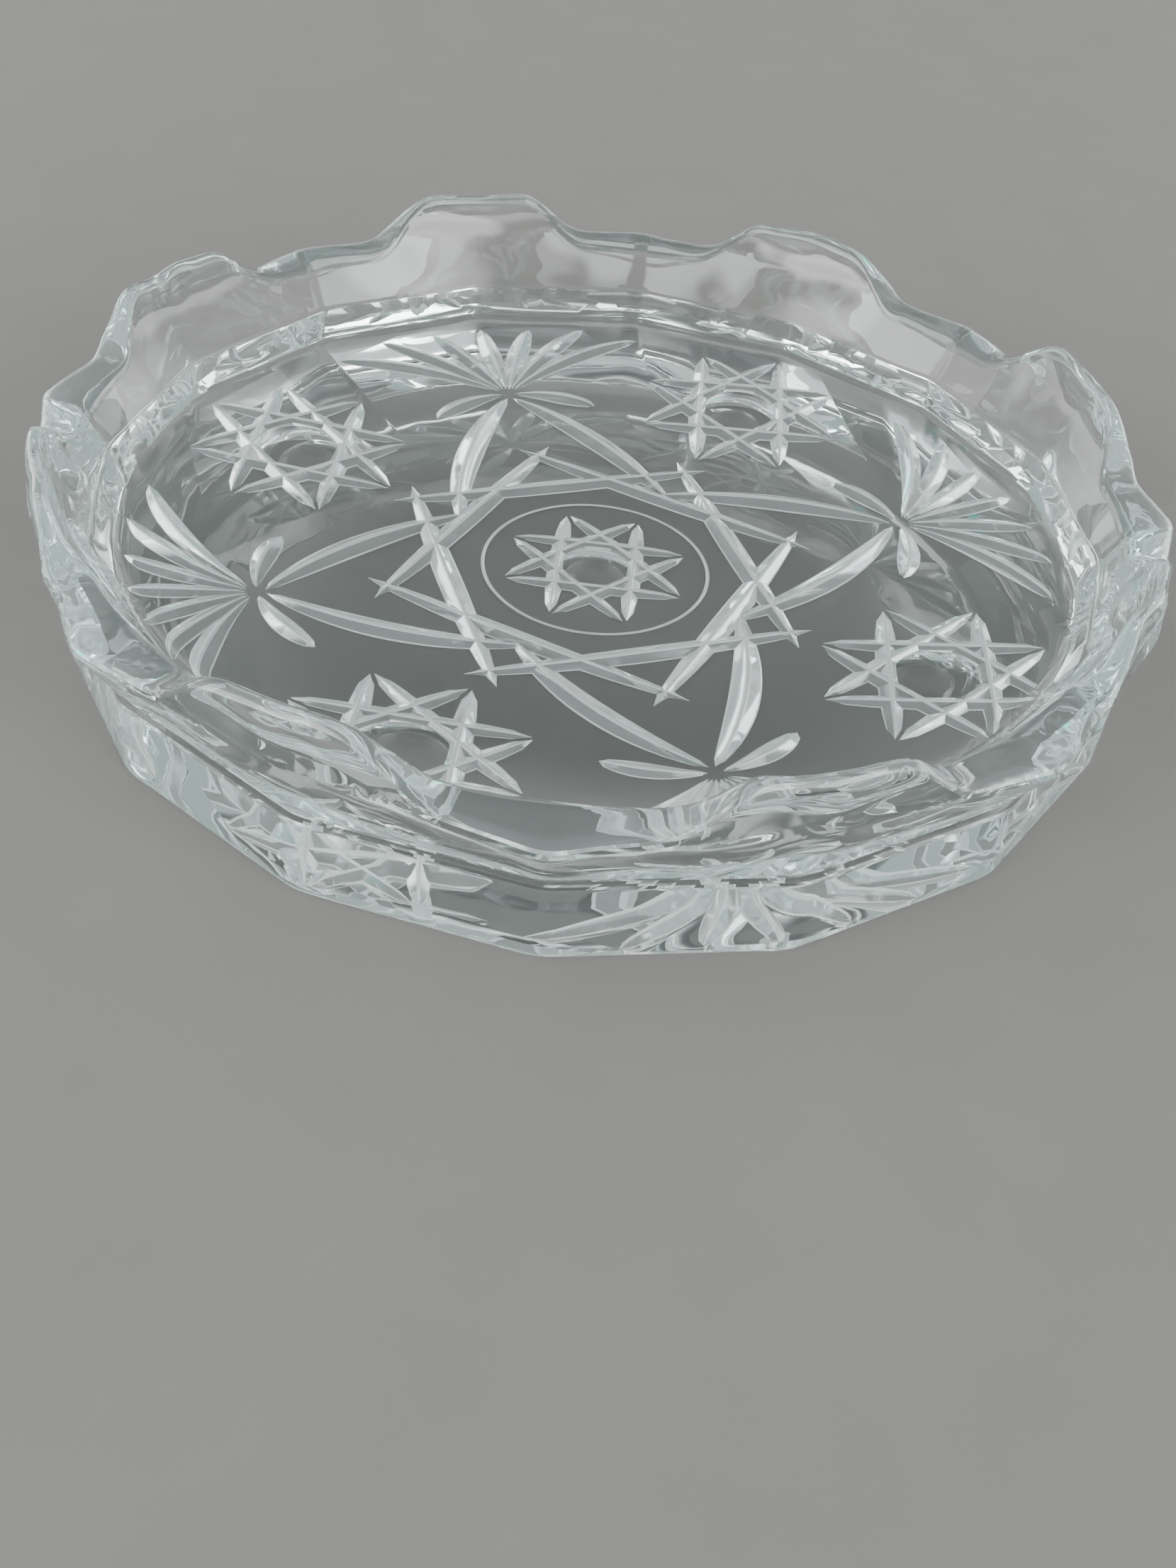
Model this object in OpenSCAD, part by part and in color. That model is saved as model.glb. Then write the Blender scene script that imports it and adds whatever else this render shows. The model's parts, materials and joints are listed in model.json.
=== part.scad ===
// Shallow round dish of pressed clear glass, one solid piece.
// It stands on a flat sixteen-sided foot. The wall flares above the foot and ends
// in eight high lobes and eight low gaps. The underside carries a cut pattern:
// four fans, four stars, a centre star and two crossed squares.
// The origin is the centre of the underside, +Z is up and +X points at one lobe.

/* [Foot] */
// Radius of the foot at its sixteen corners
foot_corner_r = 71; // [66:0.5:76]
// Height of the foot's upright side, up to the ledge
foot_h = 11; // [8:0.5:13]
// Height and width of the bevel under the foot
foot_bevel = 1.6; // [0.5:0.1:2.5]
// Width of the ledge between the foot and the wall
ledge_w = 1; // [0.4:0.1:1.6]

/* [Wall] */
// Radius of the wall at a corner in the middle of a low gap
gap_corner_r = 76; // [74:0.5:80]
// Radius of the wall at a corner in the middle of a lobe
lobe_corner_r = 72.6; // [71.5:0.2:74.5]
// Height of the rim in the low gaps
gap_h = 20.5; // [17:0.5:23]
// Height of the lobes, the dish's full height
lobe_h = 26.5; // [25:0.5:30]

/* [Inside] */
// Thickness of the floor at its flat middle
floor_t = 5; // [4:0.5:7]
// Radius of the flat middle
flat_r = 12; // [8:1:20]
// Radius of the shallow bowl round it, up to the corner with the wall
bowl_r = 63; // [60:0.5:65]
// Height of the bowl at that corner
bowl_h = 12.5; // [11:0.5:14]
// How late the bowl steepens; 2 is an even curve
bowl_power = 2.3; // [2:0.1:4]
// Height where the inside of the wall turns upright
upright_h = 23; // [21:0.5:24]
// Radius of the dish's mouth
mouth_r = 69.8; // [69.2:0.1:70.4]

/* [Rim] */
// Half width of a gap at its low edge
gap_half_low = 8.5; // [7:0.5:12]
// Half width of a gap at the top of the lobes
gap_half_top = 21; // [17:0.5:23]

/* [Pattern] */
// Distance of each fan's hub from the centre
fan_r = 47.6; // [44:0.2:50]
// Distance of each star's middle from the centre
star_r = 50.6; // [47:0.2:52]
// Radius of a star, from its middle to its points
star_tip_r = 16.5; // [13:0.2:17]
// Radius of the centre star
centre_tip_r = 12.8; // [10:0.2:14]
// Radius of the fine ring around the centre star
ring_r = 15.7; // [15:0.1:17]
// Half side of the two crossed squares
square_half = 20.8; // [19.5:0.1:22]
// Depth of the deepest grooves
groove_depth = 2.2; // [1:0.1:3]
// Width of a fan's leaves at their widest
leaf_w = 3.2; // [2:0.1:3.6]
// Radius of the arcs that run from the fans' hubs towards the centre
arm_arc_r = 66; // [60:1:72]

/* [Hidden] */
clear_glass = [0.78, 0.90, 0.88, 0.55];

foot_sides = 16;
lobes = 8;
lobe_pitch = 360 / lobes;
corner_pitch = 360 / foot_sides;
lap = 0.4;          // how far one solid runs into the next
skin = 0.3;         // how far a groove's cutter starts below the underside
ring_w = 0.8;       // half the width of the fine ring
outer_reach = 100;  // further out than any part of the dish
shoulder_steps = 6; // straight steps in the S of a lobe's shoulder
bowl_steps = 10;    // steps of the bowl between the flat middle and the wall
wall_lean = 0.4;    // how far the lobes lean inwards above the gaps
gap_lean = 1;       // the same for the wall's corners beside the gaps

// A fan's leaves: angle from straight outwards, and length
leaves = [[0, 19.5], [25, 20.3], [47, 24.6], [66, 29], [114, 14.5]];
hub_gap = 0.6;      // clear distance between a leaf's end and the hub

// The arms' arcs: angle from the axis at the hub, how far they turn, and their steps
arm_start = 42;
arm_turn = 30;
arm_steps = 6;
arm_w = 3.6;
arm_hub_gap = 1;

square_overrun = 3.5;   // how far the squares' grooves run on past the corners
square_groove_w = 2.6;
star_groove = 0.2;      // width of a star's grooves, as a share of its radius
button = 0.26;          // radius of the dimple in a star's middle, likewise

// Corners of an even polygon whose radii take turns: even_r, then odd_r
function corner_ring(even_r, odd_r, z) =
    [for (i = [0:foot_sides - 1])
        let (r = i % 2 == 0 ? even_r : odd_r, a = i * corner_pitch)
        [r * cos(a), r * sin(a), z]];

// Solid between rings of corners, from the lowest to the highest
module ring_loft(rings) {
    n = foot_sides;
    last = len(rings) - 1;
    polyhedron(
        points = [for (ring = rings) each ring],
        faces = concat(
            [[for (i = [0:n - 1]) i]],
            [for (k = [0:last - 1], i = [0:n - 1])
                let (j = (i + 1) % n, low = k * n, high = low + n)
                each [[low + i, high + i, high + j], [low + i, high + j, low + j]]],
            [[for (i = [n - 1:-1:0]) last * n + i]]
        )
    );
}

// The foot: a bevel, then an upright sixteen-sided block
module foot_block() {
    r = foot_corner_r;
    ring_loft([corner_ring(r - foot_bevel, r - foot_bevel, 0),
               corner_ring(r, r, foot_bevel),
               corner_ring(r, r, foot_h)]);
}

// The wall as a full block: it flares more towards the gaps than towards the lobes
module wall_block() {
    r = foot_corner_r - ledge_w;
    ring_loft([corner_ring(r, r, foot_h - lap),
               corner_ring(lobe_corner_r, gap_corner_r, gap_h),
               corner_ring(lobe_corner_r - wall_lean, gap_corner_r - gap_lean, lobe_h)]);
}

// The space inside: a flat middle, a shallow bowl, a sloping wall and an upright mouth
module inside_space() {
    bowl = [for (i = [0:bowl_steps]) let (u = i / bowl_steps)
        [flat_r + (bowl_r - flat_r) * u, floor_t + (bowl_h - floor_t) * pow(u, bowl_power)]];
    rotate_extrude($fn = 96)
        polygon(concat([[0, floor_t]], bowl,
                       [[mouth_r, upright_h], [mouth_r, lobe_h + lap], [0, lobe_h + lap]]));
}

// One side of a gap's outline: an S from the gap's low edge to the lobe's top
function shoulder(side) =
    [for (i = [0:shoulder_steps]) let (u = i / shoulder_steps)
        [side * (gap_half_low + (gap_half_top - gap_half_low) * u),
         gap_h + (lobe_h - gap_h) * (1 - cos(180 * u)) / 2]];

// Cutter for one gap between two lobes, pointing along +X
module gap_cutter() {
    top = lobe_h + lap;
    right = shoulder(1);
    left = shoulder(-1);
    rotate([90, 0, 90])
        linear_extrude(height = outer_reach)
            polygon(concat(right,
                           [[gap_half_top, top], [-gap_half_top, top]],
                           [for (i = [shoulder_steps:-1:0]) left[i]]));
}

// A V-shaped groove along a path in the underside. It ends in points,
// and widths and depths are given for the stations between its two ends.
module groove(path, widths, depths) {
    m = len(widths);
    mid = [for (i = [1:m]) path[i]];
    dirs = [for (i = [1:m]) let (d = path[i + 1] - path[i - 1]) d / norm(d)];
    half = [for (i = [0:m - 1]) widths[i] / 2 * (depths[i] + skin) / depths[i]];
    points = concat(
        [[path[0][0], path[0][1], -skin], [path[m + 1][0], path[m + 1][1], -skin]],
        [for (i = [0:m - 1]) [mid[i][0] - dirs[i][1] * half[i], mid[i][1] + dirs[i][0] * half[i], -skin]],
        [for (i = [0:m - 1]) [mid[i][0] + dirs[i][1] * half[i], mid[i][1] - dirs[i][0] * half[i], -skin]],
        [for (i = [0:m - 1]) [mid[i][0], mid[i][1], depths[i]]]
    );
    left = 2;
    right = 2 + m;
    ridge = 2 + 2 * m;
    faces = concat(
        [concat([0], [for (i = [0:m - 1]) right + i], [1], [for (i = [m - 1:-1:0]) left + i])],
        [[0, left, ridge], [left + m - 1, 1, ridge + m - 1]],
        [[0, ridge, right], [right + m - 1, ridge + m - 1, 1]],
        m < 2 ? [] : [for (i = [0:m - 2]) each
            [[left + i, left + i + 1, ridge + i + 1], [left + i, ridge + i + 1, ridge + i],
             [right + i, ridge + i, ridge + i + 1], [right + i, ridge + i + 1, right + i + 1]]]
    );
    polyhedron(points = points, faces = faces);
}

// A straight groove between two points, deepest in its middle
module straight_groove(from, to, width, depth) {
    step = to - from;
    groove([from, from + step * 0.3, from + step * 0.7, to], [width, width], [depth, depth]);
}

// An eight-pointed star: each groove joins a point to the third point along
module star(tip_r) {
    depth = groove_depth * tip_r / star_tip_r;
    for (i = [0:7])
        let (a = i * 45, b = a + 135)
            straight_groove(tip_r * [cos(a), sin(a)], tip_r * [cos(b), sin(b)],
                            tip_r * star_groove, depth);
    // a ball whose middle lies two button radii below the underside cuts the dimple
    button_r = tip_r * button;
    translate([0, 0, -2 * button_r]) sphere(r = button_r * sqrt(5), $fn = 48);
}

// One leaf of a fan, from its hub outwards: slim at the hub, widest past its middle
module leaf(length) {
    depth = groove_depth * 0.8;
    groove([[hub_gap, 0], [length * 0.25, 0], [length * 0.65, 0], [length, 0]],
           [leaf_w * 0.45, leaf_w], [depth * 0.45, depth]);
}

// A fan of seven leaves outwards and two short ones to the sides, hub at the origin
module fan() {
    for (spread = leaves, side = spread[0] == 0 ? [1] : [-1, 1])
        rotate(side * spread[0]) leaf(spread[1]);
}

// One arm of the curved four-pointed star: two arcs that start at a fan's hub
// and open towards the centre. Drawn with the hub at the origin, centre along -X.
module curved_arm() {
    widths = [for (i = [1:arm_steps - 1]) arm_w * sin(180 * (0.12 + 0.76 * i / arm_steps))];
    for (side = [-1, 1])
        groove([for (i = [0:arm_steps]) let (a = arm_start - arm_turn * i / arm_steps)
                   [-arm_hub_gap - arm_arc_r * (sin(arm_start) - sin(a)),
                    side * arm_arc_r * (cos(a) - cos(arm_start))]],
               widths, widths / 2);
}

// A square frame of four grooves that run on a little past its corners
module crossed_square() {
    reach = square_half + square_overrun;
    for (i = [0:3])
        rotate(i * 90)
            straight_groove([square_half, -reach], [square_half, reach],
                            square_groove_w, groove_depth * 0.6);
}

module centre_ring() {
    rotate_extrude($fn = 96)
        polygon([[ring_r - ring_w, -skin], [ring_r + ring_w, -skin], [ring_r, ring_w / 2]]);
}

// Everything that is cut into the underside
module pattern() {
    star(centre_tip_r);
    centre_ring();
    crossed_square();
    rotate(45) crossed_square();
    for (i = [0:3])
        rotate(i * 90) {
            translate([fan_r, 0]) {
                fan();
                curved_arm();
            }
            rotate(45) translate([star_r, 0]) rotate(-45) star(star_tip_r);
        }
}

module dish() {
    color(clear_glass)
        difference() {
            union() {
                foot_block();
                wall_block();
            }
            inside_space();
            for (i = [0:lobes - 1])
                rotate((i + 0.5) * lobe_pitch) gap_cutter();
            pattern();
        }
}

dish();
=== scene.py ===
"""Looks for a shallow dish of clear pressed glass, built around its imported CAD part.

The glass is one closed mesh. Its outside and inside are swept round the centre from
a profile that changes with the angle, so that the rim rises into eight lobes. The
pattern of fans, stars and crossed squares is then cut into the underside.
Lengths are in metres, in the CAD part's frame: +Z is up, z = 0 is the underside.
"""
import json
import math

import bmesh
import bpy
from mathutils import Matrix, Vector, noise

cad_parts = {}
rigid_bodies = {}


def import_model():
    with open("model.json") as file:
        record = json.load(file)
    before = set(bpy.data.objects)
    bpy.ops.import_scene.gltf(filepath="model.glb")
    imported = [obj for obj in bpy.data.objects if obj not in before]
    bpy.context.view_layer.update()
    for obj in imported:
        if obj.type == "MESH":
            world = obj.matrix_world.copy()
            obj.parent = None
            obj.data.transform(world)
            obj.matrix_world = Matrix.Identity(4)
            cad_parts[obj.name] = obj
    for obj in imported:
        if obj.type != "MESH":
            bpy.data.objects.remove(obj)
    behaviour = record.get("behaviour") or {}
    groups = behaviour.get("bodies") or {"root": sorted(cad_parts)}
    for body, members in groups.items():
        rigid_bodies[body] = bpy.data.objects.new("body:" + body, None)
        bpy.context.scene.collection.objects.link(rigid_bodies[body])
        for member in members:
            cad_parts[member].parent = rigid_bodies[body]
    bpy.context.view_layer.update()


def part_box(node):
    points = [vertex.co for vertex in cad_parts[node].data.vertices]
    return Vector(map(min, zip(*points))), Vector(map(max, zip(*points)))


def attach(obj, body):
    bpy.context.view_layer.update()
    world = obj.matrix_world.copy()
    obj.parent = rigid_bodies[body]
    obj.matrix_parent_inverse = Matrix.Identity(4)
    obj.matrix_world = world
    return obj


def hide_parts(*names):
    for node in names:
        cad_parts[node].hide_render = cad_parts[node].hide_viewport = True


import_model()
box_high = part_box("dish")[1]

MM = 0.001

# The outside. The full height and the width over the lobes come from the CAD part.
LOBE_H = box_high[2]
LOBE_CORNER_R = box_high[0]
GAP_H = LOBE_H - 6.0 * MM
GAP_CORNER_R = LOBE_CORNER_R + 3.4 * MM
LOBE_LEAN = 0.4 * MM         # how far the wall leans inwards above the gaps' height
GAP_LEAN = 1.0 * MM          # the same at the corners beside the gaps
FOOT_R = LOBE_CORNER_R - 1.6 * MM
FOOT_H = 11 * MM
BEVEL = 1.2 * MM             # size of the rounded edge under the foot
LEDGE = 1.0 * MM             # width of the ledge between the foot and the wall
LEDGE_EDGE = 0.6 * MM        # size of the ledge's rounded outer edge
CREASE_LIP = 0.05 * MM       # size of the ledge's inner edge, at the foot of the wall
CREASE = 0.1 * MM            # how far the crease just above it is undercut
CREASE_H = 0.2 * MM          # height of that crease above the ledge
WALL_START = 0.6 * MM        # height above the ledge where the wall's even rows start

# The inside, from the middle outwards
FLOOR_T = 5 * MM
FLAT_R = 12 * MM
BOWL_R = 63 * MM
BOWL_H = 12.5 * MM
BOWL_POWER = 2.1             # how late the bowl steepens; 2 is an even curve
FLOOR_BEND = 1.6 * MM        # how far the corner between bowl and wall is rounded
UPRIGHT_H = 23 * MM          # height where the inside of the wall turns upright
MOUTH_BEND = 3.0 * MM        # how far that turn is rounded
MOUTH_R = LOBE_CORNER_R - 2.8 * MM
INSIDE_ROWS = 44

# The rim: half angles, from a gap's middle, where the lobe's shoulder starts and ends
SHOULDER_START = math.radians(6.5)
SHOULDER_END = math.radians(17.5)
CROWN = 2.0 * MM             # how much a lobe's top would drop by the middle of a gap
RIM_RISE = 1.5 * MM          # height of the rim's rounded top
RIM_SQUARENESS = 0.9         # how much squarer that rounding is in the gaps
RIM_PAINTED_SHEEN_SHARE = 0.7             # the upper share of that rounding that takes the rim's material, with its painted sheen
WALL_WAVE = 0.28 * MM        # how far the fire-polished wall strays from true
LOBE_WAVE = 0.50 * MM        # the same, added on the lobes
LOBE_WAVE_DROP = 3 * MM      # how far below the gaps' height the lobes' waves set in
WAVE_FADE = 4 * MM           # height over which the waves grow to their full size
WAVE_SIZE = 9 * MM
FINE_WAVE_SIZE = 5.5 * MM
FINE_WAVE_SHARE = 0.25
WAVE_SEED = 7                # picks the waves, so that every run gives the same ones

# The sweep
LOBES = 8
PANELS = 2 * LOBES
COLUMNS_PER_PANEL = 44
COLUMNS = PANELS * COLUMNS_PER_PANEL
CORNER_SOFTNESS = math.radians(1.1)

# The pattern: distances from the centre to the fans' hubs and the stars' middles, then sizes
FAN_R = 47.6 * MM
STAR_R = 50.6 * MM
STAR_TIP_R = 17.0 * MM
CENTRE_TIP_R = 13.6 * MM
DIMPLE = 0.42                # radius of the dimple in a star's middle, as a share of the star's
DIMPLE_DEPTH = 0.26          # its depth, as a share of its radius
RING_R = 15.7 * MM
SQUARE_HALF = 20.8 * MM
SKIN = 0.3 * MM              # how far a cutter starts below the underside
GROOVE_SLOPE = 0.9           # a groove's depth over half its width
WELD = 0.002 * MM            # points that the cuts leave this close are joined


def smooth_step(x):
    """0 up to 0, 1 from 1 on, and a smooth S between."""
    x = min(max(x, 0.0), 1.0)
    return x * x * x * (x * (6 * x - 15) + 10)


# ---------------------------------------------------------------- the swept body

def panel_radius(theta, even_r, odd_r):
    """Radius at an angle of a sixteen-sided outline whose corners take turns."""
    pitch = math.tau / PANELS
    k = math.floor(theta / pitch)
    a = theta - k * pitch
    r0, r1 = (even_r, odd_r) if k % 2 == 0 else (odd_r, even_r)
    return r0 * r1 * math.sin(pitch) / (r0 * math.sin(a) + r1 * math.sin(pitch - a))


def soft_radius(theta, even_r, odd_r):
    """The same outline with its corners softened, as a mean over a few close angles."""
    spread = (-1.0, -0.5, 0.0, 0.5, 1.0)
    return sum(panel_radius(theta + s * CORNER_SOFTNESS, even_r, odd_r) for s in spread) / len(spread)


def lobe_share(theta):
    """0 in the middle of a gap, 1 on a lobe."""
    pitch = math.tau / LOBES
    from_gap = abs((theta % pitch) - pitch / 2)
    return smooth_step((from_gap - SHOULDER_START) / (SHOULDER_END - SHOULDER_START))


def rim_height(theta):
    """Height of the rim at an angle: an S between gap and lobe, and a low crown on the lobe."""
    pitch = math.tau / LOBES
    from_lobe = abs((theta + pitch / 2) % pitch - pitch / 2) / (pitch / 2)
    crown = CROWN * from_lobe ** 2
    return GAP_H + (LOBE_H - GAP_H) * lobe_share(theta) - crown * lobe_share(theta)


def wall_radius(theta, z):
    """Outside of the wall above the ledge."""
    base = FOOT_R - LEDGE
    t = (z - FOOT_H) / (GAP_H - FOOT_H)
    if t <= 1:
        even = base + (LOBE_CORNER_R - base) * t
        odd = base + (GAP_CORNER_R - base) * t
    else:
        over = (z - GAP_H) / (LOBE_H - GAP_H)
        even = LOBE_CORNER_R - LOBE_LEAN * over
        odd = GAP_CORNER_R - GAP_LEAN * over
    return soft_radius(theta, even, odd)


def outside_profile(theta, top):
    """(radius, height) pairs from the underside's edge up to where the rim starts to round."""
    r = soft_radius(theta, FOOT_R, FOOT_R)
    rows = []
    steps = 4
    for i in range(steps + 1):
        a = math.pi / 2 * i / steps
        rows.append((r - BEVEL * (1 - math.sin(a)), BEVEL * (1 - math.cos(a))))
    for i in range(1, steps + 1):
        rows.append((r, BEVEL + (FOOT_H - LEDGE_EDGE - BEVEL) * i / steps))
    steps = 3
    for i in range(1, steps + 1):
        a = math.pi / 2 * i / steps
        rows.append((r - LEDGE_EDGE * (1 - math.cos(a)), FOOT_H - LEDGE_EDGE * (1 - math.sin(a))))
    rows.append((r - LEDGE - CREASE_LIP, FOOT_H - CREASE_LIP))
    rows.append((r - LEDGE - CREASE, FOOT_H + CREASE_H))
    start = FOOT_H + WALL_START
    steps = 14
    for i in range(steps + 1):
        z = start + (top - start) * i / steps
        rows.append((wall_radius(theta, z), z))
    return rows


def rounded(points, bends):
    """A path through corners, each one replaced by a curve that starts this far from it."""
    steps = 12
    rows = [points[0]]
    for before, corner, after, bend in zip(points, points[1:], points[2:], bends):
        start = Vector(corner) + (Vector(before) - Vector(corner)).normalized() * bend
        end = Vector(corner) + (Vector(after) - Vector(corner)).normalized() * bend
        for i in range(steps + 1):
            t = i / steps
            rows.append(tuple(start * (1 - t) ** 2 + Vector(corner) * 2 * t * (1 - t) + end * t * t))
    return rows + [points[-1]]


def bowl_height(r):
    """The floor's upper side: a flat middle, and a shallow bowl round it."""
    return FLOOR_T + (BOWL_H - FLOOR_T) * ((r - FLAT_R) / (BOWL_R - FLAT_R)) ** BOWL_POWER


def inside_curve():
    """Fine (radius, height) pairs from the lobes' height down to the flat middle."""
    near = BOWL_R - 2 * FLOOR_BEND
    corners = [(MOUTH_R, LOBE_H), (MOUTH_R, UPRIGHT_H), (BOWL_R, BOWL_H), (near, bowl_height(near))]
    rows = rounded(corners, (MOUTH_BEND, FLOOR_BEND))
    steps = 100
    for i in range(1, steps + 1):
        r = near + (FLAT_R - near) * i / steps
        rows.append((r, bowl_height(r)))
    return rows


INSIDE = inside_curve()


def inside_profile(top):
    """The part of the inside below a height, as evenly spaced (radius, height) pairs."""
    k = next(i for i, (r, z) in enumerate(INSIDE) if z <= top)
    (r0, z0), (r1, z1) = INSIDE[k - 1], INSIDE[k]
    t = (z0 - top) / (z0 - z1)
    points = [(r0 + (r1 - r0) * t, top)] + INSIDE[k:]
    reach = [0.0]
    for a, b in zip(points, points[1:]):
        reach.append(reach[-1] + math.dist(a, b))
    rows = []
    j = 0
    for i in range(INSIDE_ROWS + 1):
        want = reach[-1] * i / INSIDE_ROWS
        while j < len(reach) - 2 and reach[j + 1] < want:
            j += 1
        t = min(1.0, (want - reach[j]) / max(reach[j + 1] - reach[j], 1e-12))
        rows.append(tuple(p + (q - p) * t for p, q in zip(points[j], points[j + 1])))
    return rows


def rim_profile(outer, inner_r, top, share):
    """The rounded top between the wall's outside and its inside."""
    middle = (outer + inner_r) / 2
    half = (outer - inner_r) / 2
    power = 2 / (2.0 + RIM_SQUARENESS * (1 - share))
    rows = []
    steps = 12
    for i in range(1, steps):
        a = math.pi * i / steps
        across = math.copysign(abs(math.cos(a)) ** power, math.cos(a))
        rows.append((middle + half * across, top + RIM_RISE * math.sin(a) ** power))
    return rows


def wavy(point, amount):
    """Moves a point by smooth noise, as fire polishing leaves pressed glass."""
    coarse = noise.noise_vector(point / WAVE_SIZE)
    elsewhere = Vector((7, 3, 5))
    fine = noise.noise_vector(point / FINE_WAVE_SIZE + elsewhere)
    return point + (coarse + FINE_WAVE_SHARE * fine) * amount


def build_body():
    """The dish without its pattern, as one closed mesh."""
    noise.seed_set(WAVE_SEED)
    bm = bmesh.new()
    rings = []
    for c in range(COLUMNS):
        theta = math.tau * c / COLUMNS
        share = lobe_share(theta)
        top = rim_height(theta) - RIM_RISE
        outside = outside_profile(theta, top)
        inside = inside_profile(top)
        rim = rim_profile(outside[-1][0], inside[0][0], top, share)
        profile = outside + rim + inside
        column = []
        for r, z in profile:
            point = Vector((r * math.cos(theta), r * math.sin(theta), z))
            near_top = smooth_step((z - FOOT_H) / WAVE_FADE)
            on_lobe = share * smooth_step((z - GAP_H + LOBE_WAVE_DROP) / WAVE_FADE)
            column.append(bm.verts.new(wavy(point, WALL_WAVE * near_top + LOBE_WAVE * on_lobe)))
        rings.append(column)
    rows = len(rings[0])
    for c in range(COLUMNS):
        a, b = rings[c], rings[(c + 1) % COLUMNS]
        for k in range(rows - 1):
            bm.faces.new((a[k], b[k], b[k + 1], a[k + 1]))
    bm.faces.new([rings[c][0] for c in reversed(range(COLUMNS))])
    bm.faces.new([rings[c][-1] for c in range(COLUMNS)])
    return bm


# ---------------------------------------------------------------- the pattern's cutters

# The four materials of the dish, in order: clear glass, the facets with a faint painted sheen, the edges
# with a painted highlight, and the rim with a painted sheen
GLASS, FACET, EDGE, RIM = range(4)
# A groove's section: share of its half width, share of its depth, and the material of the
# face that follows. Its lips and its ridge are softly rounded, with a flat facet between; lips and ridge
# take the painted highlight of the edge material, the facets a fainter painted sheen.
SECTION = ((1.0, 0.0, EDGE), (0.82, 0.10, FACET), (0.20, 0.82, EDGE), (0.08, 0.95, EDGE),
           (0.0, 0.98, EDGE), (-0.08, 0.95, EDGE), (-0.20, 0.82, FACET), (-0.82, 0.10, EDGE),
           (-1.0, 0.0, FACET))


def groove(bm, path, widths):
    """Adds a closed cutter for a groove along a path; widths are for its inner stations."""
    first, last = Vector((*path[0], -SKIN)), Vector((*path[-1], -SKIN))
    start, end = bm.verts.new(first), bm.verts.new(last)
    sections = []
    for i, width in enumerate(widths, start=1):
        ahead = Vector(path[i + 1]) - Vector(path[i - 1])
        ahead.normalize()
        side = Vector((-ahead.y, ahead.x))
        half = width / 2
        depth = half * GROOVE_SLOPE
        section = []
        for across, up, _ in SECTION:
            if up == 0:
                reach = half * (1 + SKIN / depth) * across
                z = -SKIN
            else:
                reach = half * across
                z = depth * up
            spot = Vector(path[i]) + side * reach
            section.append(bm.verts.new((spot.x, spot.y, z)))
        sections.append(section)
    n = len(SECTION)
    for a, b in zip(sections, sections[1:]):
        for k, (_, _, face_material) in enumerate(SECTION):
            j = (k + 1) % n
            bm.faces.new((a[k], a[j], b[j], b[k])).material_index = face_material
    for k, (_, _, face_material) in enumerate(SECTION):
        j = (k + 1) % n
        bm.faces.new((start, sections[0][j], sections[0][k])).material_index = face_material
        bm.faces.new((end, sections[-1][k], sections[-1][j])).material_index = face_material


def placed(points, turn, shift=(0.0, 0.0)):
    """Points turned about the origin and then moved."""
    c, s = math.cos(turn), math.sin(turn)
    return [(x * c - y * s + shift[0], x * s + y * c + shift[1]) for x, y in points]


def lens_widths(width, stations, taper, late=1.0):
    """Widths of a groove that swells smoothly from point to point.

    The lower the taper, the blunter its ends; the higher late is, the further along it is widest.
    """
    return [width * math.sin(math.pi * (i / stations) ** late) ** taper for i in range(1, stations)]


def line(a, b, stations):
    """Evenly spaced points from one end to the other."""
    return [(a[0] + (b[0] - a[0]) * i / stations, a[1] + (b[1] - a[1]) * i / stations)
            for i in range(stations + 1)]


STAR_POINTS = 8
STAR_GROOVE = 0.21           # width of a star's grooves, as a share of its radius
STAR_TAPER = 0.45


def star_grooves(tip_r, centre):
    """Each groove joins a point of the star to the third point along."""
    out = []
    stations = 10
    widths = lens_widths(STAR_GROOVE * tip_r, stations, STAR_TAPER)
    for i in range(STAR_POINTS):
        a = math.tau * i / STAR_POINTS
        b = a + math.tau * 3 / STAR_POINTS
        ends = [(tip_r * math.cos(t) + centre[0], tip_r * math.sin(t) + centre[1]) for t in (a, b)]
        out.append((line(*ends, stations), widths))
    return out


# A fan's leaves: angle from straight outwards, length and bow, in degrees and millimetres
LEAVES = ((0, 19.5, 0.0), (25, 20.3, 0.5), (47, 24.6, 1.2), (66, 29.0, 2.2), (114, 14.5, 1.0))
HUB_GAP = 0.6                # millimetres between the hub and the start of a leaf
LEAF_W = 3.6 * MM
LEAF_TAPER = 0.6
LEAF_LATE = 1.35


def fan_grooves(turn):
    """Nine leaves round a hub that lies on the axis at this angle."""
    out = []
    stations = 12
    hub = (FAN_R * math.cos(turn), FAN_R * math.sin(turn))
    widths = lens_widths(LEAF_W, stations, LEAF_TAPER, LEAF_LATE)
    for angle, length, bow in LEAVES:
        for side in ((1,) if angle == 0 else (-1, 1)):
            path = []
            for i in range(stations + 1):
                t = i / stations
                along = HUB_GAP + (length - HUB_GAP) * t
                path.append((along * MM, -side * 4 * bow * t * (1 - t) * MM))
            out.append((placed(path, turn + side * math.radians(angle), hub), widths))
    return out


# The arms' arcs: radius, angle from the axis at the hub, and how far they turn
ARM_ARC_R = 66 * MM
ARM_START = math.radians(42)
ARM_TURN = math.radians(33)
ARM_W = 4.4 * MM
ARM_TAPER = 0.75
ARM_LATE = 0.9
ARM_HUB_GAP = 1 * MM


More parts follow.
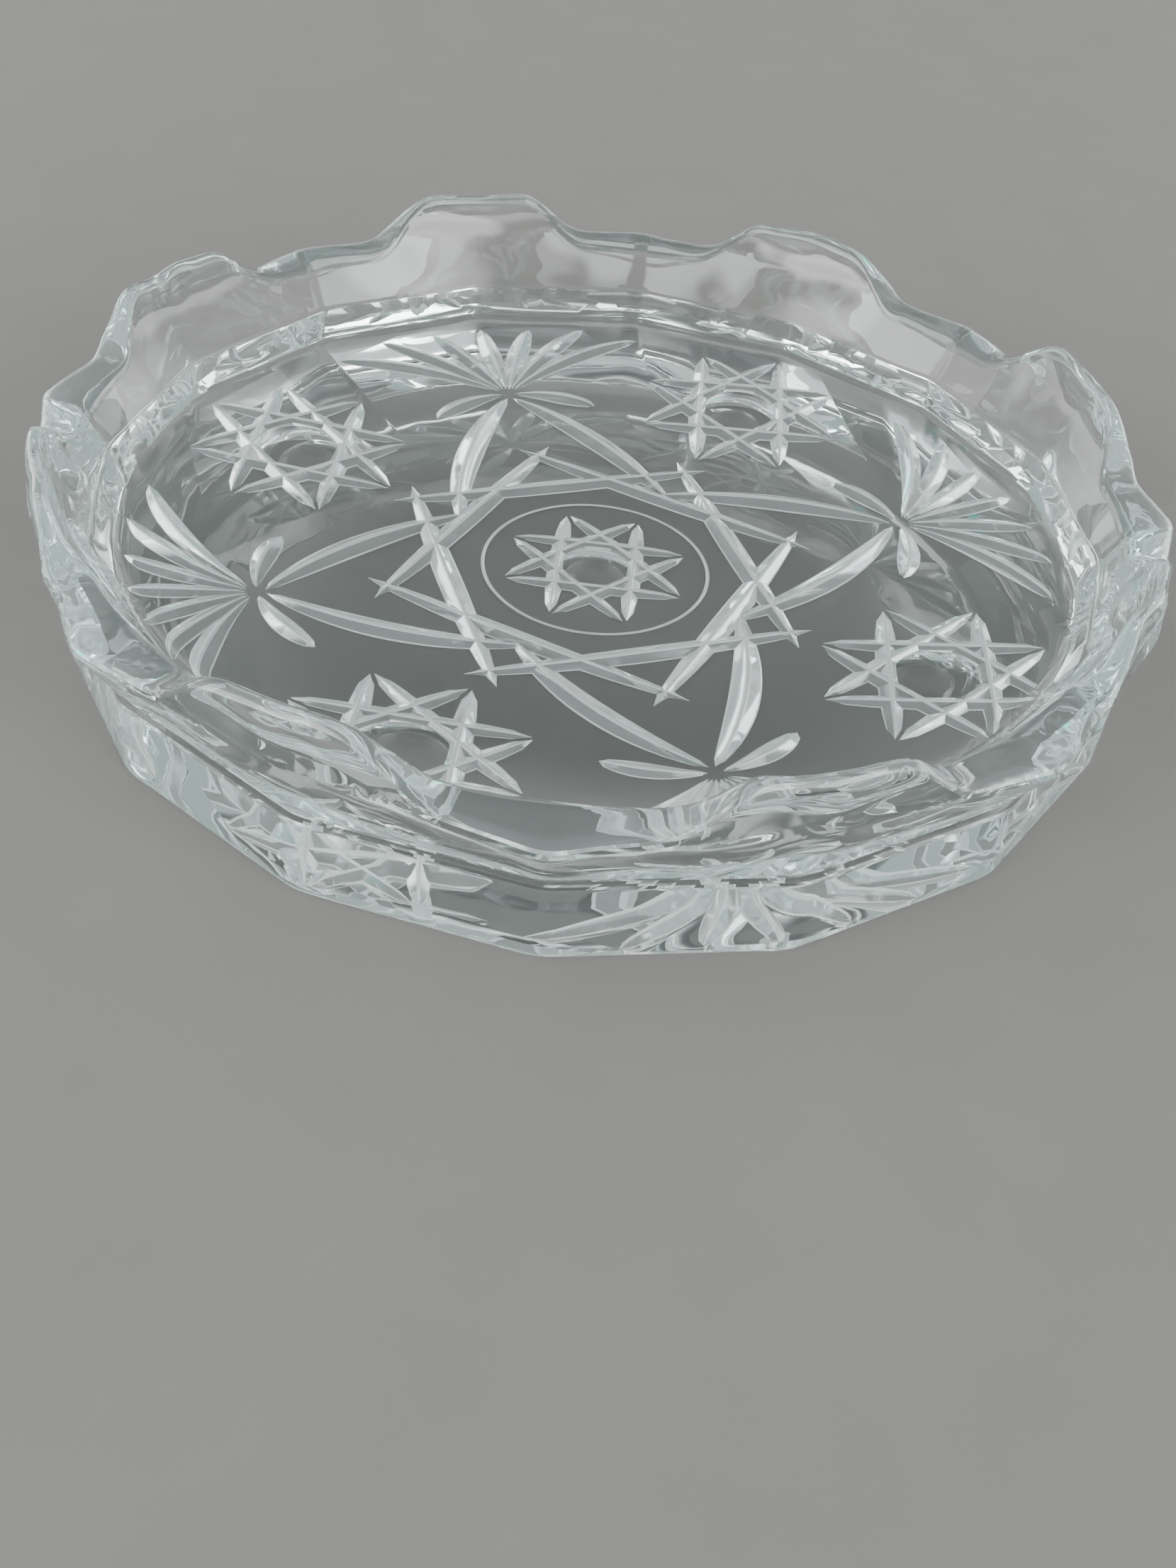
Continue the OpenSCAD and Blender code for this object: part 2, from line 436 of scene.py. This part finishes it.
def arm_grooves(turn):
    """Two arcs that leave a fan's hub towards the centre and open like a pod."""
    out = []
    stations = 18
    hub = (FAN_R * math.cos(turn), FAN_R * math.sin(turn))
    widths = lens_widths(ARM_W, stations, ARM_TAPER, ARM_LATE)
    for side in (-1, 1):
        path = []
        for i in range(stations + 1):
            a = ARM_START - ARM_TURN * i / stations
            path.append((-ARM_HUB_GAP - ARM_ARC_R * (math.sin(ARM_START) - math.sin(a)),
                         side * ARM_ARC_R * (math.cos(a) - math.cos(ARM_START))))
        out.append((placed(path, turn, hub), widths))
    return out


SQUARE_OVERRUN = 4.5 * MM    # how far the squares' grooves run on past the corners
SQUARE_W = 3.8 * MM
SQUARE_TAPER = 0.6


def square_grooves(turn):
    """Four grooves that run on a little past the corners of a square."""
    reach = SQUARE_HALF + SQUARE_OVERRUN
    stations = 14
    widths = lens_widths(SQUARE_W, stations, SQUARE_TAPER)
    out = []
    for i in range(4):
        path = line((SQUARE_HALF, -reach), (SQUARE_HALF, reach), stations)
        out.append((placed(path, turn + i * math.pi / 2), widths))
    return out


def ring_cutter(bm):
    """A fine V-shaped ring round the centre star."""
    steps = 128
    half = 0.6 * MM
    depth = 0.22 * MM
    section = ((RING_R - half, -SKIN), (RING_R + half, -SKIN), (RING_R, depth))
    loops = []
    for i in range(steps):
        a = math.tau * i / steps
        loops.append([bm.verts.new((r * math.cos(a), r * math.sin(a), z)) for r, z in section])
    # every face takes the edge material, whose diffuse white is a painted highlight
    for i in range(steps):
        a, b = loops[i], loops[(i + 1) % steps]
        for k in range(3):
            j = (k + 1) % 3
            bm.faces.new((a[k], b[k], b[j], a[j])).material_index = EDGE


def ball_cutter(bm, centre, rim_r, depth):
    """The cap of a ball, which cuts a round dimple of this radius and depth."""
    ball_r = (rim_r ** 2 + depth ** 2) / (2 * depth)
    place = Matrix.Translation((centre[0], centre[1], depth - ball_r))
    past_rim = 0.6 * MM          # how far the cap goes on past the dimple's rim
    cap = math.asin(min(1.0, (rim_r + past_rim) / ball_r))
    rings = 8
    painted_highlight_from = 5              # the outer rings take the edge material's painted highlight, as the grooves' edges do
    around = 40
    top = bm.verts.new(place @ Vector((0, 0, ball_r)))
    loops = []
    for i in range(1, rings + 1):
        a = cap * i / rings
        loop = []
        for k in range(around):
            t = math.tau * k / around
            spot = Vector((ball_r * math.sin(a) * math.cos(t),
                           ball_r * math.sin(a) * math.sin(t),
                           ball_r * math.cos(a)))
            loop.append(bm.verts.new(place @ spot))
        loops.append(loop)
    for k in range(around):
        j = (k + 1) % around
        bm.faces.new((top, loops[0][k], loops[0][j]))
        for i, (a, b) in enumerate(zip(loops, loops[1:])):
            bm.faces.new((a[k], b[k], b[j], a[j])).material_index = EDGE if i >= painted_highlight_from else GLASS
    bm.faces.new(list(reversed(loops[-1])))


def pattern_cutters():
    """One closed mesh for each groove and dimple, and one for the fine ring."""
    grooves = star_grooves(CENTRE_TIP_R, (0, 0)) + square_grooves(0) + square_grooves(math.pi / 4)
    dimples = [((0, 0), DIMPLE * CENTRE_TIP_R)]
    for i in range(4):
        turn = i * math.pi / 2
        grooves += fan_grooves(turn) + arm_grooves(turn)
        star = (STAR_R * math.cos(turn + math.pi / 4), STAR_R * math.sin(turn + math.pi / 4))
        grooves += star_grooves(STAR_TIP_R, star)
        dimples.append((star, DIMPLE * STAR_TIP_R))
    shells = []
    for path, widths in grooves:
        bm = bmesh.new()
        groove(bm, path, widths)
        shells.append(bm)
    for centre, rim_r in dimples:
        bm = bmesh.new()
        ball_cutter(bm, centre, rim_r, DIMPLE_DEPTH * rim_r)
        shells.append(bm)
    bm = bmesh.new()
    ring_cutter(bm)
    shells.append(bm)
    return shells


def to_object(bm, name, glass_and_painted_sheen, collection):
    """Turns a closed mesh into an object with the four materials, three of them with a painted sheen or
    highlight.
    """
    bmesh.ops.recalc_face_normals(bm, faces=bm.faces)
    mesh = bpy.data.meshes.new(name)
    bm.to_mesh(mesh)
    bm.free()
    for material in glass_and_painted_sheen:
        mesh.materials.append(material)
    obj = bpy.data.objects.new(name, mesh)
    collection.objects.link(obj)
    return obj


def cut_pattern(dish, glass_and_painted_sheen):
    """Cuts every groove out of the dish and leaves one plain mesh.

    The cut faces keep the materials of the cutters that made them, with their painted highlights.
    """
    cutters = bpy.data.collections.new("cutters")
    bpy.context.scene.collection.children.link(cutters)
    for i, bm in enumerate(pattern_cutters()):
        to_object(bm, f"cutter_{i}", glass_and_painted_sheen, cutters)
    cut = dish.modifiers.new("pattern", "BOOLEAN")
    cut.operation = "DIFFERENCE"
    cut.operand_type = "COLLECTION"
    cut.collection = cutters
    cut.solver = "MANIFOLD"
    graph = bpy.context.evaluated_depsgraph_get()
    mesh = bpy.data.meshes.new_from_object(dish.evaluated_get(graph))
    dish.modifiers.clear()
    dish.data = mesh
    bm = bmesh.new()
    bm.from_mesh(mesh)
    bmesh.ops.dissolve_degenerate(bm, dist=WELD, edges=bm.edges)
    bm.to_mesh(mesh)
    bm.free()
    for obj in list(cutters.objects):
        bpy.data.meshes.remove(obj.data)
    bpy.data.collections.remove(cutters)


# ---------------------------------------------------------------- materials

GLASS_IOR = 1.52
TINT = (0.72, 0.94, 0.91, 1)
TINT_DENSITY = 7.0
MANY_BOUNCES = 6             # light that has bounced this often in the glass picks up the painted glow
# Painted glow: pale aqua light that the glass emits, once, to stand in for light that dies out in the
# thick corners
PAINTED_GLOW = 0.6
PAINTED_GLOW_TINT = (0.85, 0.96, 0.94, 1)
RIM_CLEAR = 0.94             # how much of the rim is clear glass; the rest is diffuse pale white, a painted sheen
FACET_CLEAR = 0.77           # the same for the grooves' facets, whose diffuse white is a fainter painted sheen
EDGE_CLEAR = 0.28            # and for their edges and ridges, whose diffuse white is a painted highlight


def empty_material(name):
    """A material whose nodes are still to be made."""
    material = bpy.data.materials.new(name)
    material.use_nodes = True
    material.node_tree.nodes.clear()
    return material


def set_inputs(node, values):
    """Sets a node's inputs by name: a socket is linked, and anything else is its value."""
    for name, value in values.items():
        if isinstance(value, bpy.types.NodeSocket):
            node.id_data.links.new(value, node.inputs[name])
        else:
            node.inputs[name].default_value = value


def noise_pattern(tree, values):
    """Smooth noise that is fixed to the object."""
    where = tree.nodes.new("ShaderNodeTexCoord")
    pattern = tree.nodes.new("ShaderNodeTexNoise")
    set_inputs(pattern, {"Vector": where.outputs["Object"], **values})
    return pattern.outputs["Fac"]


def bumped(tree, values):
    """A normal that leans as if the surface rose and fell with a height."""
    bump = tree.nodes.new("ShaderNodeBump")
    set_inputs(bump, values)
    return bump.outputs["Normal"]


def colour_between(tree, share, first, second):
    """A mix of two colours: the first at a share of 0, the second at 1."""
    mix = tree.nodes.new("ShaderNodeMix")
    mix.data_type = "RGBA"
    set_inputs(mix, {"Factor": share, "A": first, "B": second})
    return mix.outputs["Result"]


def ranged(tree, value, start, end, low, high, kind="LINEAR"):
    """Turns start..end into low..high."""
    node = tree.nodes.new("ShaderNodeMapRange")
    node.interpolation_type = kind
    set_inputs(node, {"Value": value, "From Min": start, "From Max": end, "To Min": low, "To Max": high})
    return node.outputs["Result"]


def maths(tree, operation, *values):
    """The result of an operation on numbers and sockets, given in the order of its inputs."""
    node = tree.nodes.new("ShaderNodeMath")
    node.operation = operation
    for socket, value in zip(node.inputs, values):
        if isinstance(value, bpy.types.NodeSocket):
            tree.links.new(value, socket)
        else:
            socket.default_value = value
    return node.outputs["Value"]


def glass_shader(tree, values):
    """Joins glass to the output, with a tint that grows with thickness.

    Light that has bounced many times inside the glass picks up a pale aqua painted glow, emitted by the
    glass, once, so that it doesn't die out in the thick corners.
    """
    path = tree.nodes.new("ShaderNodeLightPath")
    many = maths(tree, "COMPARE", path.outputs["Ray Depth"], MANY_BOUNCES, 0.5)
    glass = tree.nodes.new("ShaderNodeBsdfPrincipled")
    set_inputs(glass, {"IOR": GLASS_IOR, "Emission Color": PAINTED_GLOW_TINT,
                       "Emission Strength": maths(tree, "MULTIPLY", many, PAINTED_GLOW), **values})
    depth_tint = tree.nodes.new("ShaderNodeVolumeAbsorption")
    set_inputs(depth_tint, {"Color": TINT, "Density": TINT_DENSITY})
    out = tree.nodes.new("ShaderNodeOutputMaterial")
    set_inputs(out, {"Surface": glass.outputs["BSDF"], "Volume": depth_tint.outputs["Volume"]})


def glass_material():
    """Clear glass with a faint aqua tint, softly wavy and a little uneven in polish."""
    material = empty_material("clear_glass")
    tree = material.node_tree
    waves = noise_pattern(tree, {"Scale": 70, "Detail": 2})
    grain = noise_pattern(tree, {"Scale": 420, "Detail": 3})
    wavy_normal = bumped(tree, {"Height": waves, "Strength": 0.25, "Distance": 0.35 * MM})
    normal = bumped(tree, {"Height": grain, "Strength": 0.04, "Distance": 0.05 * MM,
                           "Normal": wavy_normal})
    glass_shader(tree, {
        "Transmission Weight": 1.0,
        "Base Color": colour_between(tree, waves, (0.985, 1.0, 0.995, 1), (0.965, 0.995, 0.985, 1)),
        "Roughness": ranged(tree, waves, 0.45, 0.75, 0.0, 0.03),
        "Normal": normal,
    })
    return material


def rim_material():
    """The fire-polished rim: clear glass with a share of diffuse pale aqua to white, a painted sheen."""
    material = empty_material("rim_glass_painted_sheen")
    tree = material.node_tree
    swirls = noise_pattern(tree, {"Scale": 120, "Detail": 2, "Distortion": 1.5})
    glass_shader(tree, {
        "Transmission Weight": RIM_CLEAR,
        "Base Color": colour_between(tree, swirls, (0.84, 0.96, 0.94, 1), (0.99, 1.0, 1.0, 1)),
        "Roughness": 0.04,
        "Normal": bumped(tree, {"Height": swirls, "Strength": 0.35, "Distance": 0.3 * MM}),
    })
    return material


def cut_material(name, clear, roughness):
    """The pattern's cut faces: the same glass, a little rough, with a share of diffuse white that is a
    painted highlight.
    """
    material = empty_material(name)
    tree = material.node_tree
    streaks = noise_pattern(tree, {"Scale": 260, "Detail": 3})
    glass_shader(tree, {
        "Transmission Weight": clear,
        "Base Color": colour_between(tree, streaks, (0.93, 0.98, 0.97, 1), (1.0, 1.0, 1.0, 1)),
        "Roughness": roughness,
        "Normal": bumped(tree, {"Height": streaks, "Strength": 0.15, "Distance": 0.08 * MM}),
    })
    return material


def floor_material():
    """A plain floor with a barely visible grain."""
    material = empty_material("floor")
    tree = material.node_tree
    speckle = noise_pattern(tree, {"Scale": 60, "Detail": 4})
    surface = tree.nodes.new("ShaderNodeBsdfPrincipled")
    shade = colour_between(tree, speckle, (0.162, 0.157, 0.150, 1), (0.182, 0.176, 0.168, 1))
    set_inputs(surface, {"Base Color": shade, "Roughness": 0.7})
    out = tree.nodes.new("ShaderNodeOutputMaterial")
    set_inputs(out, {"Surface": surface.outputs["BSDF"]})
    return material


# ---------------------------------------------------------------- camera, light, floor

CAMERA_AT = Vector((-0.0641, -0.1691, 0.1244))
CAMERA_TARGET = Vector((-0.0133, -0.0399, 0.0))
CAMERA_ROLL = math.radians(6.17)
CAMERA_LENS = 35.7

# The sky's strength at each height: up to the first sine it is low, past the second it is high
SKY_LOW = 1.6
SKY_HIGH = 0.8
SKY_TURN = (0.45, 0.95)
# Extra light along the horizon, which fades out between these two sines
HORIZON = 3.4
HORIZON_FADE = (0.16, 0.34)
SKY_TINT = (0.97, 0.99, 1.0, 1)
# Two soft windows, one to each side of the camera: azimuth and elevation in degrees
WINDOWS = ((200, 20), (300, 20))
WINDOW_LIGHT = 8.0
WINDOW_EDGE = (0.90, 0.97)   # cosines of the angles from a window's middle where its light fades
# Dimmer parts of the sky, which the flat floor of the dish and its far wall would mirror:
# direction, share of the light, and the cosines where the dimming starts and ends
DIM_SKY = (((0.281, 0.713, 0.643), 0.35, 0.84, 0.96),
           ((-0.281, -0.713, 0.643), 0.2, 0.75, 0.92),
           ((0.357, 0.933, 0.05), 0.25, 0.75, 0.93))
FLOOR_SIZE = 6.0
FLOOR_DROP = 0.15 * MM       # keeps the floor and the dish's underside out of one plane


def make_camera():
    """The camera looks down into the dish from one side, turned a little about its own axis."""
    data = bpy.data.cameras.new("camera")
    data.lens = CAMERA_LENS
    data.clip_start = 0.01
    camera = bpy.data.objects.new("camera", data)
    aim = (CAMERA_TARGET - CAMERA_AT).to_track_quat("-Z", "Y").to_matrix().to_4x4()
    camera.matrix_world = Matrix.Translation(CAMERA_AT) @ aim @ Matrix.Rotation(CAMERA_ROLL, 4, "Z")
    bpy.context.scene.collection.objects.link(camera)
    bpy.context.scene.camera = camera


def make_side_light():
    """A weak soft light from the left, aimed at the dish."""
    data = bpy.data.lights.new("side", "AREA")
    data.shape = "RECTANGLE"
    data.size = 0.5
    data.size_y = 0.7
    data.energy = 2.0
    light = bpy.data.objects.new("side", data)
    at = Vector((-0.9, 0.3, 0.6))
    light.matrix_world = Matrix.Translation(at) @ (-at).to_track_quat("-Z", "Y").to_matrix().to_4x4()
    bpy.context.scene.collection.objects.link(light)


def nearness(tree, where, direction):
    """The cosine of the angle between a place in the sky and this direction."""
    node = tree.nodes.new("ShaderNodeVectorMath")
    node.operation = "DOT_PRODUCT"
    tree.links.new(where, node.inputs[0])
    node.inputs[1].default_value = direction
    return node.outputs["Value"]


def make_world():
    """Soft light from all round: brightest at the horizon, with two windows and three dim parts."""
    world = bpy.data.worlds.new("studio")
    world.use_nodes = True
    tree = world.node_tree
    tree.nodes.clear()
    where = tree.nodes.new("ShaderNodeTexCoord").outputs["Generated"]
    parts = tree.nodes.new("ShaderNodeSeparateXYZ")
    tree.links.new(where, parts.inputs["Vector"])
    up = parts.outputs["Z"]
    sky = ranged(tree, up, *SKY_TURN, SKY_LOW, SKY_HIGH, "SMOOTHSTEP")
    low = ranged(tree, up, *HORIZON_FADE, HORIZON, 0.0, "SMOOTHSTEP")
    total = maths(tree, "ADD", sky, low)
    for way, share, start, end in DIM_SKY:
        dim = ranged(tree, nearness(tree, where, way), start, end, 1.0, share, "SMOOTHSTEP")
        total = maths(tree, "MULTIPLY", total, dim)
    for azimuth, elevation in WINDOWS:
        a, e = math.radians(azimuth), math.radians(elevation)
        way = (math.cos(a) * math.cos(e), math.sin(a) * math.cos(e), math.sin(e))
        window = ranged(tree, nearness(tree, where, way), *WINDOW_EDGE, 0.0, WINDOW_LIGHT, "SMOOTHSTEP")
        total = maths(tree, "ADD", total, window)
    background = tree.nodes.new("ShaderNodeBackground")
    set_inputs(background, {"Color": SKY_TINT, "Strength": total})
    out = tree.nodes.new("ShaderNodeOutputWorld")
    set_inputs(out, {"Surface": background.outputs["Background"]})
    bpy.context.scene.world = world


def make_stage():
    """The floor, the side light and the sky."""
    bpy.ops.mesh.primitive_plane_add(size=FLOOR_SIZE, location=(0, 0, -FLOOR_DROP))
    floor = bpy.context.active_object
    floor.name = "floor"
    floor.data.materials.append(floor_material())
    make_side_light()
    make_world()


# ---------------------------------------------------------------- the piece

SHARP_ANGLE = math.radians(18)   # faces that meet at more than this are shaded with an edge


def on_rim(point):
    """Whether a point lies on the part of the rounded top that takes the rim's painted sheen."""
    theta = math.atan2(point.y, point.x) % math.tau
    return point.z > rim_height(theta) - RIM_PAINTED_SHEEN_SHARE * RIM_RISE


def make_dish():
    """The whole dish, in the place of its CAD solid."""
    # Past the clear glass: the facets' and the edges' diffuse white are painted highlights, the rim's a
    # painted sheen
    glass_and_painted_sheen = (glass_material(), cut_material("cut_facet_painted_sheen", FACET_CLEAR, 0.05),
                cut_material("cut_edge_painted_highlight", EDGE_CLEAR, 0.15), rim_material())
    dish = to_object(build_body(), "glass_dish", glass_and_painted_sheen, bpy.context.scene.collection)
    cut_pattern(dish, glass_and_painted_sheen)
    mesh = dish.data
    for face in mesh.polygons:
        if face.material_index == GLASS and on_rim(face.center):
            face.material_index = RIM
    mesh.shade_smooth()
    mesh.set_sharp_from_angle(angle=SHARP_ANGLE)
    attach(dish, "root")
    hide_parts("dish")


make_camera()
make_stage()
make_dish()
